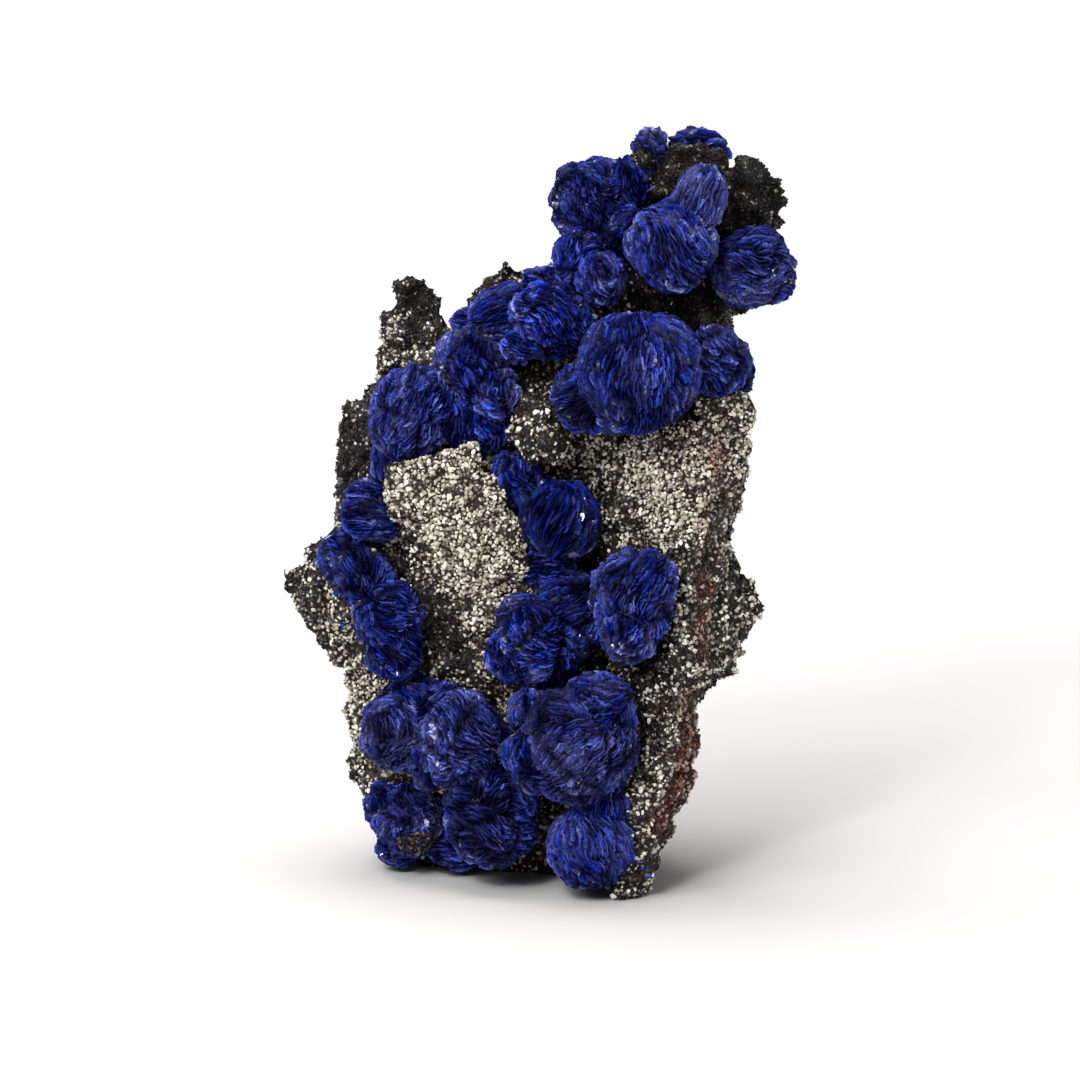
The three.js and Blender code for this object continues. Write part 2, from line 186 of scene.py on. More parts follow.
clusters = {
    "crown_rosettes": [
        ball(5.2, 57.1, 4.6, 3.45, 115, fine=0.8, haze=0.25, painted_light=0.9),
        ball(8.4, 58.6, 4.8, 2.2, 150, fine=0.8),
        ball(11.9, 53.3, -0.4, 3.65, 137, curl=30, haze=0.2),
        ball(14.1, 57, 0, 2.05, 20, long=1.45, curl=25, haze=1.0), ball(6.1, 50.5, -0.8, 2.1, 150),
        ball(4.2, 52.3, 1.5, 2.2, 60), ball(8.2, 54.4, 2.2, 2, 20),
    ],
    "fan_rosette": [
        ball(18.6, 51.6, 2.6, 3.3, 96, curl=35, haze=0.35), ball(20, 50.6, 3.2, 2.2, 120),
    ],
    "cap_crystal_left": [ball(10.2, 61.9, 4.7, 1.2, 105, long=1.15, fine=1.7, haze=0.3)],
    "cap_crystal_right": [ball(14.2, 61.6, 6.2, 1.4, 100, long=1.65, fine=1.6)],
    "shoulder_rosettes": [
        ball(1.7, 47, 0.2, 3.35, 135), ball(1.7, 49.2, 2.2, 2.35, 95),
        ball(-2.2, 48, 2.2, 1.75, 70, long=1.6), ball(-4.6, 46.9, 3, 1.15, 95, long=1.7),
        ball(-0.9, 44.9, -1, 1.45, 120), ball(-4.5, 43, 0.4, 3.5, 175),
        # The haze of the next two balls is partly a painted highlight: it paints pale streaks of sheen on
        # them.
        ball(-2.8, 40.8, -2, 1.95, 155, haze=0.3),
        ball(-10.2, 39.2, 0.4, 3.3, 8, long=1.15, haze=0.35), ball(-8, 40.4, 0.2, 2.6, 60),
        ball(-12, 35.6, 1.5, 1.3, 12, long=1.5), ball(-5.6, 38.6, 0.2, 2.3, 150),
        ball(-3.5, 38.2, -0.6, 1.9, 170),
    ],
    "great_rosette": [
        ball(9, 42.9, -5.4, 4.85, 4, curl=26, haze=0, painted_light=0.9), ball(4.9, 40.6, -4.2, 2.9, 92),
        ball(7.3, 40, -5, 2.6, 70), ball(15.4, 43.6, -2, 2.9, 150, haze=0.3),
        ball(17.2, 42.3, -0.8, 1.6, 120),
    ],
    "column_rosettes": [
        ball(-1, 33.6, -2.1, 1.8, 150, long=1.4),
        # This ball sits in shade: its painted-light number of 0.75 and its haze of -0.8 paint it darker,
        # as painted shade.
        ball(2.6, 30.4, -3, 3.15, 12, fine=1.3, curl=20, haze=-0.8, painted_light=0.75),
        ball(1.6, 26.6, -1.4, 2.5, 60), ball(0.8, 20.4, -3.2, 3.9, 125, curl=80),
        ball(3.6, 22.8, -3.1, 3.1, 40), ball(-1.2, 18.9, -4, 2.4, 112), ball(1.1, 17.2, -2.8, 1.7, 5),
    ],
    "side_rosette": [
        ball(8.7, 23.6, -6.7, 3.35, 175, long=1.2, haze=0.4), ball(10.2, 25.3, -8.1, 2.2, 30),
        ball(8.4, 20.9, -7.7, 2.5, 160),
    ],
    "foot_rosettes": [
        ball(4, 11.5, -7, 4.85, 68, haze=0.5), ball(1.1, 10.6, -7.2, 3.2, 150),
        ball(5.8, 14.4, -7.6, 3, 66), ball(-0.4, 14.1, -6.6, 1.4, 10, long=1.3),
        ball(5.1, 2.8, -6.8, 3.55, 160, curl=25), ball(6.2, 5.8, -6.2, 2.6, 175, curl=25),
    ],
    "edge_cone": [
        ball(-13.2, 30.4, 0.4, 1.8, 95, long=1.4), ball(-13.8, 32.4, 1.3, 1.2, 95, long=1.2),
    ],
    "edge_rosettes": [
        ball(-15.6, 27.2, 1.8, 2.2, 130), ball(-14, 25.4, 0.6, 2.5, 150),
        ball(-12, 22.4, -0.2, 3, 160), ball(-11.3, 19.4, -0.1, 2.3, 150),
    ],
    "base_rosettes": [
        ball(-9.6, 15.4, 1, 2, 100, long=1.3), ball(-10.9, 12.3, -0.4, 3.2, 15, haze=0.6),
        ball(-12.2, 14, 1.2, 1.5, 60), ball(-5.6, 11.6, -2.8, 3.9, 130, haze=0.6),
        ball(-7.6, 14.4, -1, 2.2, 60), ball(-8.5, 9.7, -3.2, 1.6, 170, long=1.3),
        ball(-3.2, 5.5, -3.6, 4.2, 100, haze=0.35),
    ],
    "corner_rosettes": [
        ball(-10, 5, 0.8, 3, 172, haze=0.3), ball(-11.9, 6.4, 1.8, 2, 150),
        ball(-6.2, 2.4, 0.2, 1.5, 90, long=1.5), ball(-11.1, 2.8, 2, 1.7, 110),
    ],
}
all_balls = [b for balls in clusters.values() for b in balls]
print(len(all_balls), "balls in", len(clusters), "clusters")

# %% [markdown]
# ## Materials as graphs of nodes
# A material is a graph: each node works something out from its inputs and hands it on. One small
# function adds a node. The functions after it are short names for the kinds of node that are used
# most.


# %% Node helpers
def set_inputs(tree, node, inputs):
    """Gives each input its value, or links it to another node's output."""
    for key, value in dict(inputs).items():
        if isinstance(value, bpy.types.NodeSocket):
            tree.links.new(value, node.inputs[key])
        else:
            node.inputs[key].default_value = value


def add(tree, kind, settings=(), inputs=()):
    """A new node of this kind, with its settings and inputs."""
    node = tree.nodes.new(kind)
    for key, value in dict(settings).items():
        setattr(node, key, value)
    set_inputs(tree, node, inputs)
    return node


def attribute(tree, name):
    """The number that each point of the mesh carries under this name."""
    return add(tree, "ShaderNodeAttribute", {"attribute_name": name}).outputs["Fac"]


def noise(tree, where, size, detail):
    """A noise texture with patches about size mm wide: scale = 1 / size in metres."""
    scale = 1 / (size * MM)
    return add(tree, "ShaderNodeTexNoise", inputs={"Vector": where, "Scale": scale, "Detail": detail})


def maths(tree, operation, *values):
    """The result of one operation, such as MULTIPLY_ADD: first x second + third."""
    return add(tree, "ShaderNodeMath", {"operation": operation}, dict(enumerate(values))).outputs[0]


def mapped(tree, value, low, high, first, last, kind="LINEAR"):
    """The value's range from low to high carried over to first to last, and held at its ends."""
    ends = {"From Min": low, "From Max": high, "To Min": first, "To Max": last}
    return add(
        tree, "ShaderNodeMapRange", {"interpolation_type": kind}, {"Value": value} | ends
    ).outputs[0]


def ramp(tree, value, stops):
    """A colour for each value, between stops given as (place, hex colour)."""
    node = add(tree, "ShaderNodeValToRGB", inputs={"Fac": value})
    elements = node.color_ramp.elements
    while len(elements) < len(stops):
        elements.new(0.5)
    for element, (place, colour) in zip(elements, stops):
        element.position = place
        element.color = linear(colour)
    return node.outputs["Color"]


def blend(tree, share, first, second):
    """first x (1 - share) + second x share, with the share held between 0 and 1."""
    sockets = {"Factor": share, 6: first, 7: second}
    return add(tree, "ShaderNodeMix", {"data_type": "RGBA", "clamp_factor": True}, sockets).outputs[2]


def bumped(tree, height, strength, distance):
    """The surface's direction, tilted by the slope of a height that stands up to distance mm."""
    sockets = {"Strength": strength, "Distance": distance * MM, "Height": height}
    return add(tree, "ShaderNodeBump", inputs=sockets).outputs[0]


def new_material(name):
    """An empty material, with its node tree and its Principled shader already joined to the output."""
    material = bpy.data.materials.new(name)
    material.use_nodes = True
    tree = material.node_tree
    tree.nodes.clear()
    shader = add(tree, "ShaderNodeBsdfPrincipled")
    add(tree, "ShaderNodeOutputMaterial", inputs={"Surface": shader.outputs[0]})
    return material, tree, shader


# %% [markdown]
# ## Azurite's finish
# Azurite is copper carbonate, coloured through and through. It is so strongly blue that light is
# swallowed within a millimetre: thick crystal looks navy to black, and only thin edges turn
# ultramarine. So each point carries an edge number, and the colour runs from near black to bright
# blue with it. The number is partly how near the point is to a blade's thin edge, and partly painted
# light: a painted highlight along each crest, and painted shade in the crevices between blades, in
# the seams between fans and over balls that get less light. A second number, one for each blade,
# makes neighbours differ, some of them greyer and more violet where fine growth steps scatter the
# light, and blades that glint are paler still, as a painted glint. Its refractive index is high,
# about 1.76, so facets glint.

# %% Azurite blades
azurite, tree, shader = new_material("azurite_blades")
where = add(tree, "ShaderNodeTexCoord").outputs["Object"]
# Patches of 1.2 mm and flecks of 0.15 mm: where growth was faster the crystal is cloudier.
patches = noise(tree, where, 1.2, 3.0).outputs["Fac"]
flecks = noise(tree, where, 0.15, 2.0).outputs["Fac"]
# Growth lines run along each blade, 0.16 mm apart. The attribute "across" is in millimetres.
bent = maths(tree, "MULTIPLY_ADD", flecks, 0.08, attribute(tree, "across"))
line_inputs = {"W": bent, "Scale": 1 / 0.16, "Detail": 1.0}
lines = add(tree, "ShaderNodeTexNoise", {"noise_dimensions": "1D"}, line_inputs).outputs["Fac"]
# The edge number is partly real and partly painted light. Growth lines vary it, and flecks add dark pits
# and pale specks, the pale specks being painted glints. The ramps run from near-black painted shade in the
# crevices, through the ultramarine of thin edges, to a painted highlight on the crests.
lined = maths(tree, "MULTIPLY", attribute(tree, "edge_and_painted_light"), mapped(tree, lines, 0.3, 0.65, 0.7, 1.15))
edge_and_painted_light = maths(tree, "MULTIPLY", lined, mapped(tree, flecks, 0.35, 0.65, 0.75, 1.15))
clear = ramp(tree, edge_and_painted_light, [(0.12, "#00000A"), (0.4, "#02083A"), (0.7, "#0A2292"), (1.0, "#2A4CC8")])
cloudy = ramp(tree, edge_and_painted_light, [(0.12, "#060614"), (0.4, "#282A54"), (0.7, "#4C5292"), (1.0, "#7C84C2")])
patchy = maths(tree, "SUBTRACT", patches, 0.5)
cloudiness = maths(tree, "MULTIPLY_ADD", attribute(tree, "blade"), 0.47, patchy)
rough = maths(tree, "MULTIPLY_ADD", flecks, 0.9, lines)
# One blade in six has a smooth crest that glints like glass. The rest are satin.
shine = maths(tree, "MULTIPLY", attribute(tree, "gloss"), edge_and_painted_light)
azurite_look = {
    "Base Color": blend(tree, cloudiness, clear, cloudy),
    "Roughness": mapped(tree, shine, 0.2, 0.55, 0.4, 0.12),
    "Normal": bumped(tree, rough, strength=0.7, distance=0.06),
    "IOR": 1.76,
    "Specular IOR Level": 0.05,
    "Coat Weight": mapped(tree, shine, 0.2, 0.5, 0.0, 1.0),
    "Coat Roughness": 0.12,
    "Coat IOR": 1.5,
}
set_inputs(tree, shader, azurite_look)
print("azurite:", len(tree.nodes), "nodes")

# %% [markdown]
# ## The grain of a ball
# The blades of a ball run roughly from pole to pole, but not as straight as on a globe: growth breaks
# a ball into smaller fans, each turned a little its own way, with seams between them. The same
# functions give the ball's swollen surface and the way that its blades run at any point of it.

# %% Grain of a ball
SEAM_REACH = 0.07
CREASE_REACH = 0.12


def folds(shape, ways, seed):
    """The turn of the small fan that each direction is in, and how deep it is in a seam or crease.

    A ball has 5 + 1.6 x radius fans, each round a middle of its own. Depth is exp(-distance / reach).
    """
    rng = np.random.default_rng(seed)
    count = 5 + int(1.6 * shape["radius"])
    middles = unit(rng.normal(size=(count, 3)))
    turns = rng.uniform(-0.75, 0.75, count) * shape["wild"]
    near = ways @ middles.T
    order = np.sort(near, axis=-1)
    seam = np.exp(-(order[..., -1] - order[..., -2]) / SEAM_REACH)
    waves = np.abs(swell(ways * shape["radius"], 1.5, 1, salt=seed + 3))
    crease = 0.6 * np.exp(-waves / CREASE_REACH)
    return turns[np.argmax(near, axis=-1)], np.maximum(seam, crease) * shape["wild"]


def surface(shape, ways, seed, lift=0.0):
    """Points of a ball: centre + reach x direction, stretched along the pole.

    The reach is the radius, swollen by noise and lower in the folds, plus lift.
    """
    _, groove = folds(shape, ways, seed)
    swollen = 1.03 + 0.16 * swell(ways, 0.6, 2, salt=seed) - 0.1 * groove
    reach = shape["radius"] * swollen - 0.1 * groove + lift
    stretch = (shape["long"] - 1) * (ways @ shape["pole"])[..., None] * shape["pole"]
    return shape["centre"] + reach[..., None] * (ways + stretch)


def grain(shape, ways, seed):
    """Unit tangents along the blades: from pole to pole, turned by noise and by the small fan's turn."""
    turn, _ = folds(shape, ways, seed)
    angle = shape["curl"] * swell(ways, 0.8, 2, salt=seed + 5) + turn
    along = unit(shape["pole"] - (ways @ shape["pole"])[..., None] * ways)
    across = np.cross(ways, along)
    return np.cos(angle)[..., None] * along + np.sin(angle)[..., None] * across


def scattered(count, rng):
    """Directions spread evenly over a sphere: steps of the golden angle up a line, shaken a little."""
    step = np.arange(count) + 0.5
    height = 1 - 2 * step / count
    turn = step * math.pi * (3 - math.sqrt(5))
    flat = np.sqrt(1 - height**2)
    even = np.stack([flat * np.cos(turn), flat * np.sin(turn), height], axis=-1)
    return unit(even + rng.normal(scale=0.8 / math.sqrt(count), size=even.shape))


def spread(shape, ways, seed, pitch, stretch):
    """Directions pushed apart in nine rounds, each by exp(-(distance / pitch)^2) of all the others.

    A distance along the grain counts 1 / stretch of one across it, because blades are long.
    """
    for _ in range(9):
        along = grain(shape, ways, seed)[:, None]
        apart = (ways[:, None] - ways[None]) * shape["radius"]
        apart = apart - along * (np.sum(apart * along, axis=-1) * (1 - 1 / stretch))[..., None]
        far = np.linalg.norm(apart, axis=-1, keepdims=True)
        push = np.sum(apart / np.maximum(far, 1e-6) * np.exp(-((far / pitch) ** 2)), axis=1)
        ways = unit(ways + 0.3 * pitch / shape["radius"] * push)
    return ways


# %% [markdown]
# ## The rosettes' blades
# A blade could be a bent box, but hundreds of copies would look stamped. Here each blade is a ridge
# carried along its own path: it starts at a point of its ball and follows the grain both ways, as
# hair follows a crown. Its section has two feet under the surface, a steep side and a broad sloping
# side, and it tapers to a point at both ends. The starts are first pushed apart, so that the blades
# lie side by side. All blades of a ball are worked out at once, as arrays of (blade, place on its
# path, corner).

# %% Blades of a ball
FOOT_DEPTH = 0.3
CORE_DEPTH = 0.28
STEPS_EACH_WAY = 3
PATH_POINTS = 2 * STEPS_EACH_WAY + 1
RINGS = PATH_POINTS - 2
BLADE_POINTS = 3 * RINGS + 2
# How bright the steep foot, the crest and the broad foot are, and a blade's two tips: the crest has its
# thin edge and a painted highlight, and the feet and tips have painted shade down among the other blades.
SECTION_EDGE_AND_PAINTED_LIGHT = np.array([0.16, 1.0, 0.3])
TIP_EDGE_AND_PAINTED_SHADE = 0.12


def follow(shape, start, length, astray, seed):
    """Each blade's path: three equal steps each way from its start, along the grain turned by astray."""
    paths = {STEPS_EACH_WAY: start}
    step = (length / (2 * STEPS_EACH_WAY) / shape["radius"])[:, None]
    for way in (-1, 1):
        here = start
        for k in range(1, STEPS_EACH_WAY + 1):
            along = grain(shape, here, seed)
            along = np.cos(astray) * along + np.sin(astray) * np.cross(here, along)
            here = unit(here + way * along * step)
            paths[STEPS_EACH_WAY + way * k] = here
    return np.stack([paths[k] for k in range(PATH_POINTS)], axis=1)


def blade_faces(count):
    """The blades' triangles: three sides from ring to ring, closed by a tip at each end."""
    low = 1 + 3 * np.arange(RINGS - 1)
    above, tip = low + 3, BLADE_POINTS - 1
    sides, pairs = [], ((0, 1), (1, 2), (2, 0))
    for a, b in pairs:
        sides.append(np.stack([low + a, above + a, above + b], -1))
        sides.append(np.stack([low + a, above + b, low + b], -1))
    ends = [[0, 1 + a, 1 + b] for a, b in pairs] + [[tip, tip - 3 + b, tip - 3 + a] for a, b in pairs]
    one = np.concatenate(sides + [np.array(ends)])
    return (one[None] + BLADE_POINTS * np.arange(count)[:, None, None]).reshape(-1, 3)


def blades(shape, seed, hidden, area_each=0.245, long=1.5, wide=0.41, high=0.2):
    """(points, faces, values) of a ball's blades, one for each area_each square millimetres.

    At t from -1 to 1 along a path the half width is wide / 2 x (1 - t^2)^0.6, and the crest stands
    high x (1 - t^2)^0.5 x (0.8 + 0.4 t) above the ball, nearer to one foot than to the other. The sign
    of the 0.4 is drawn. One blade in eight leads: it is longer, wider and higher. Where a ball is calm
    its blades are broad and low.
    """
    rng = np.random.default_rng(seed)
    fine, wild = shape["fine"], shape["wild"]
    count = int(4 * math.pi * shape["radius"] ** 2 * shape["long"] / (area_each * fine**2))
    start = spread(shape, scattered(count, rng), seed, 0.5 * wide * fine, long / wide * 0.8)
    start = start[~hidden(surface(shape, start, seed))]
    count = len(start)
    calm = np.clip(1.8 * swell(start, 0.8, 1, salt=seed + 7) - 0.35, 0, 1)
    leads = rng.uniform(size=count) < 0.12
    length = long * fine * rng.uniform(0.5, 1.3, count) * (1 + 0.3 * leads)
    length = np.minimum(length, 1.35 * shape["radius"])
    width = wide * fine * np.exp(rng.normal(scale=0.3, size=count))
    width = width * (1 + 0.6 * leads) * (1 + 0.6 * calm)
    height = high * fine * rng.uniform(0.3, 1.5, count) * (1 + 0.35 * leads) * (1 - 0.6 * calm)
    side_way = swell(start, 0.9, 1, salt=seed + 9) + rng.normal(scale=0.15, size=count)
    lean = np.sign(side_way)[:, None, None]
    astray = rng.normal(scale=0.15, size=count)[:, None]
    path = follow(shape, start, length, astray, seed)
    middle = surface(shape, path, seed)
    side = np.cross(path, unit(np.gradient(middle, axis=1)))
    t = np.linspace(-1, 1, PATH_POINTS)
    taper = np.clip(1 - t**2, 0, 1)
    half = (0.5 * width[:, None] * taper**0.6)[..., None]
    swing = np.sign(rng.uniform(-1, 1, count))[:, None] * t
    uneven = 1 + 0.28 * wild * rng.normal(size=(count, PATH_POINTS))
    rise = (height[:, None] * (taper**0.5 * (0.8 + 0.4 * swing)) * uneven)[..., None]
    rise = rise + rng.uniform(-0.03, 0.07, count)[:, None, None] * fine
    sunk = middle - path * FOOT_DEPTH
    offset = 0.45 * lean + 0.25 * wild * rng.normal(size=(count, PATH_POINTS, 1))
    crest = middle + path * rise + side * half * offset
    corners = [sunk + side * half * lean, crest, sunk - side * half * lean]
    near_left = lean > 0
    rows = np.stack([np.where(near_left, corners[k], corners[2 - k]) for k in range(3)], axis=2)
    inner = rows[:, 1:-1].reshape(count, 3 * RINGS, 3)
    points = np.concatenate([sunk[:, :1], inner, sunk[:, -1:]], axis=1)
    marks = np.where(near_left[:, 0], SECTION_EDGE_AND_PAINTED_LIGHT, SECTION_EDGE_AND_PAINTED_LIGHT[::-1])
    # Painted shade: blades in a seam or crease of the ball get a lower edge number, and each ball's
    # painted-light number lowers it over the whole ball.
    _, groove = folds(shape, path[:, 1:-1], seed)
    painted_seam_shade = np.repeat(1 - 0.65 * groove, 3, axis=1)
    tip = np.full((count, 1), TIP_EDGE_AND_PAINTED_SHADE)
    edges_and_painted_light = np.concatenate([tip, np.tile(marks, (1, RINGS)) * painted_seam_shade, tip], axis=1)
    edges_and_painted_light = edges_and_painted_light * rng.uniform(0.5, 1.05, (count, 1)) * shape["painted_light"]
    lay = np.sign(lean[:, :, 0]) * width[:, None] * np.array([-0.5, -0.22, 0.5])
    at_tip = np.zeros((count, 1))
    lay = np.concatenate([at_tip, np.tile(lay, (1, RINGS)), at_tip], axis=1)
    gloss = rng.uniform(size=count) < 0.16
    # Glinting blades are painted paler too, as a painted glint. The rest of the tint is the blade's own
    # random cloudiness, its calm patch and its ball's haze.
    tint_and_painted_glint = np.clip(rng.uniform(0, 1, count) + 0.6 * calm + shape["haze"] + 0.7 * gloss, 0, 2)
    values = {
        "across": (lay + rng.uniform(0, 40, (count, 1))).ravel(),
        "gloss": np.repeat(gloss.astype(float), BLADE_POINTS),
        "edge_and_painted_light": edges_and_painted_light.ravel(),
        "blade": np.repeat(tint_and_painted_glint, BLADE_POINTS),
    }
    return points.reshape(-1, 3), blade_faces(count), values


def core(shape, seed):
    """(points, faces, values) of the ball that the blades' feet stand in: a closed grid round the pole."""
    around, down = 28, 14
    u = np.linspace(0, 2 * math.pi, around, endpoint=False)
    v = np.linspace(0, math.pi, down + 1)[1:-1]
    side = unit(np.cross(shape["pole"], [0.0, 1.0, 0.0]))
    front = np.cross(shape["pole"], side)
    rim = np.cos(u)[:, None] * side + np.sin(u)[:, None] * front
    rings = np.cos(v)[:, None, None] * shape["pole"] + np.sin(v)[:, None, None] * rim
    ways = np.concatenate([[shape["pole"]], rings.reshape(-1, 3), [-shape["pole"]]])
    points = surface(shape, ways, seed, lift=-CORE_DEPTH)
    grid = 1 + np.arange(around * (down - 1)).reshape(down - 1, around)
    right = np.roll(grid, -1, axis=1)
    upper, lower, upper_r, lower_r = grid[:-1], grid[1:], right[:-1], right[1:]
    last = len(ways) - 1
    faces = np.concatenate(
        [
            np.stack([upper, lower, lower_r], -1).reshape(-1, 3),
            np.stack([upper, lower_r, upper_r], -1).reshape(-1, 3),
            np.stack([np.zeros(around, int), grid[0], right[0]], -1),
            np.stack([np.full(around, last), right[-1], grid[-1]], -1),
        ]
    )
    # The core shows between the blades' feet, and it is painted dark there as painted shade.
    values = {"edge_and_painted_light": 0.15, "blade": 0.2, "across": 0.0, "gloss": 0.0}
    return points, faces, {key: np.full(len(points), value) for key, value in values.items()}


# %% [markdown]
# ## The rock's skin
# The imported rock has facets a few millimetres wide. The real surface is knobbly down to half a
# millimetre. A voxel remesh gives it an even net of small faces, a little smoothing takes the facets'
# corners off, and then noise pushes each point in or out: broad swells, and lumps of 1 to 2 mm with
# creases between them, as crust grows. A table of dents adds the hollows and knobs that the front
# shows. The flat break underneath stays flat.


# %% Rock skin
def merged_copy(node):
    """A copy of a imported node's mesh with its loose triangles' corners merged."""
    mesh = node.data.copy()
    cleaner = bmesh.new()
    cleaner.from_mesh(mesh)
    bmesh.ops.remove_doubles(cleaner, verts=cleaner.verts, dist=0.0005 * MM)
    cleaner.to_mesh(mesh)
    cleaner.free()
    return mesh


def fine_net(mesh, voxel):
    """The mesh remeshed on cubes of that size and smoothed: points in mm, normals and triangles."""
    helper = bpy.data.objects.new("rock_net", mesh)
    bpy.context.scene.collection.objects.link(helper)
    remesh = helper.modifiers.new("net", "REMESH")
    remesh.mode = "VOXEL"
    remesh.voxel_size = voxel * MM
    smooth = helper.modifiers.new("soften", "SMOOTH")
    smooth.factor, smooth.iterations = 0.5, 4
    done = bpy.data.meshes.new_from_object(helper.evaluated_get(bpy.context.evaluated_depsgraph_get()))
    bpy.data.objects.remove(helper)
    done.calc_loop_triangles()
    points = np.empty(len(done.vertices) * 3, np.float32)
    normals = np.empty(len(done.vertices) * 3, np.float32)
    faces = np.empty(len(done.loop_triangles) * 3, np.int32)
    done.vertices.foreach_get("co", points)
    done.vertices.foreach_get("normal", normals)
    done.loop_triangles.foreach_get("vertices", faces)
    bpy.data.meshes.remove(done)
    points, normals = (values.reshape(-1, 3).astype(float) for values in (points, normals))
    return points / MM, normals, faces.reshape(-1, 3)


DENTS = [
    (15.3, 37.2, -3, 1.3, 0.9), (14.3, 27.3, -5, 1.1, 0.7), (13.5, 26, -5, 1, 0.5),
    (16.8, 40.2, -2, 1.6, -0.4), (15.5, 37.9, -2.5, 0.9, -0.4), (16.6, 29.6, -3, 0.9, 0.6),
    (-9.6, 20.5, -1, 1.6, 0.7), (-10, 25, -2, 1.4, 0.6), (-3, 28.2, -4, 0.7, 0.4),
    (-4.5, 24, -4, 0.6, 0.35), (13.1, 14, -4, 0.9, 0.4), (12, 9, -5, 0.9, 0.4), (15, 50, 2, 1.5, 0.6),
    (17, 47.5, 2, 1.2, 0.5), (10.5, 60.4, 3.5, 1.2, 0.5), (16.8, 58.6, 2, 0.9, 0.5),
    (-9.2, 46, 3, 0.8, 0.5), (-11.5, 43, 3, 0.9, 0.5), (-17, 26, 3, 1, 0.5),
    (17.6, 24.4, -1, 0.8, 0.4), (-11, 28, -2.5, 1.5, 1.1), (-9.8, 25.2, -3, 1.5, 1.1),
    (-8.4, 21.8, -3, 1.6, 1), (-7.4, 18.6, -3, 1.5, 0.8), (-10.4, 36, -2.6, 1.4, 1),
    (-2.9, 34.8, -2.6, 1.2, 1.4), (-5.4, 36.9, -2.6, 0.8, -0.9), (-12.4, 34.6, -2, 0.7, -0.5),
]


def dented(points):
    """How far in each point goes, in mm: depth x exp(-(distance / reach)^2), summed over the dents."""
    total = np.zeros(len(points))
    for across, up, back, reach, depth in DENTS:
        total += depth * np.exp(-np.sum((points - seen(across, up, back)) ** 2, axis=1) / reach**2)
    return total


rock_mesh = merged_copy(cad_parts["matrix_rock"])
skin, skin_normal, skin_faces = fine_net(rock_mesh, voxel=0.36)
# The push fades out in the lowest 1.5 mm, and the crown from 48 mm up is craggier than the rest.
settle = np.clip(skin[:, 2] / 1.5, 0, 1)
lumps = np.abs(swell(skin, 2.3, 1, salt=4)) + 0.5 * np.abs(swell(skin, 1.1, 1, salt=6))
craggy = np.clip((skin[:, 2] - 48) / 6, 0, 1)
push = 0.5 * swell(skin, 4, 2, salt=3) + (1.1 + 0.8 * craggy) * (lumps - 0.42) - dented(skin)
push = push + (0.24 + 0.12 * craggy) * swell(skin, 0.95, 1, salt=8)
skin = skin + skin_normal * (push * settle)[:, None]
skin[:, 2] = np.maximum(skin[:, 2], 0)
skin_tree = BVHTree.FromPolygons(skin.tolist(), skin_faces.tolist())
print(f"rock skin: {len(skin_faces)} triangles")

# %% [markdown]
# ## Where the crust is white, black or rusty
# The crust is not the same all over: the ledge in the middle is nearly all white grains, the crown
# and the knobs are black, and the right side has brown-red veins. A table of soft spots holds that.
# Each spot has a place, a reach and a value, and a point takes the mean of the spots round it, by how
# near they are.

# %% Crust table
WHITE_SPOTS = [
    (-8, 33, -3, 4.5, 1.1), (-5.4, 29, -3, 4.5, 1.1), (-3.6, 25, -3, 3.8, 1.05),
    (-3, 20.5, -2, 2.8, 0.8), (-3, 17, -1, 2, 0.5), (9, 35.5, -4, 4, 0.9),
    (11.5, 32.5, -4.5, 3.6, 1.1), (13.5, 29, -5, 2.4, 1.0), (7.6, 31, -3, 2.4, 0.5),
    (14.6, 26, -6, 3, 0.45), (11, 21, -7, 3, 0.55), (11.3, 16.8, -7, 4, 0.5), (9.2, 4.2, -8, 5, 0.35),
    (10, 10, -7.5, 3.2, 0.6), (16.4, 39.5, -2, 3, 0.85), (16.8, 34.4, -2, 4, 0.62),
    (16, 24, 0, 4, 0.42), (18.9, 22.8, 1, 2, 0.4), (-18, 23.5, 4, 4, 0.5), (-15, 36, 5, 4, 0.1),
    (-14.3, 12.6, 4, 4, 0.75), (-13.8, 8, 4, 3, 0.6), (-11.4, 27.6, -2, 2.2, 0.1),
    (-10, 24, -2, 2.6, 0.08), (-8.6, 20.4, -2, 2.6, 0.12), (-6.6, 16.6, -2, 2.2, 0.2),
    (-10.9, 44.9, 4, 2.2, 0.6), (-9.7, 48.7, 5, 2.2, 0.1), (-1.7, 50.4, 6, 2.6, 0.28),
    (0.8, 37.8, -5, 3, 0.2), (17.8, 33, -2, 2.4, 0.3), (16.6, 30, -3, 2, 0.3),
    (14.3, 60, 4, 5, -0.15), (19, 57, 3, 4, -0.2), (13.4, 48.7, 3, 4, 0.0), (-6.7, 20, -1, 2, 0.1),
    (6.7, 16.8, -3, 3, 0.06), (5, 24.4, -2, 2.2, 0.08), (2.5, 1.7, 0, 3, 0.25),
    (-10.9, 1.7, 2, 2, 0.3),
]
RUST_SPOTS = [
    (15.3, 35, -3, 1.2, 1.3), (14.7, 24.4, -5, 0.9, 1.2), (14.8, 22, -5, 0.9, 1.2),
    (14.6, 19.8, -5, 0.9, 1.1), (13.6, 12.4, -4, 1.3, 1.1), (13.2, 10.2, -4, 1.3, 1.4),
    (12.2, 8, -5, 1.3, 1.5), (11.4, 5.4, -6, 1.3, 1.3), (14, 29, -5, 1, 0.45), (16.5, 27, -3, 1, 0.5),
    (12.8, 15.4, -5, 1.1, 0.9), (12.8, 37.6, -4, 1.6, 0.35), (15, 33, -3, 2, 0.3),
]


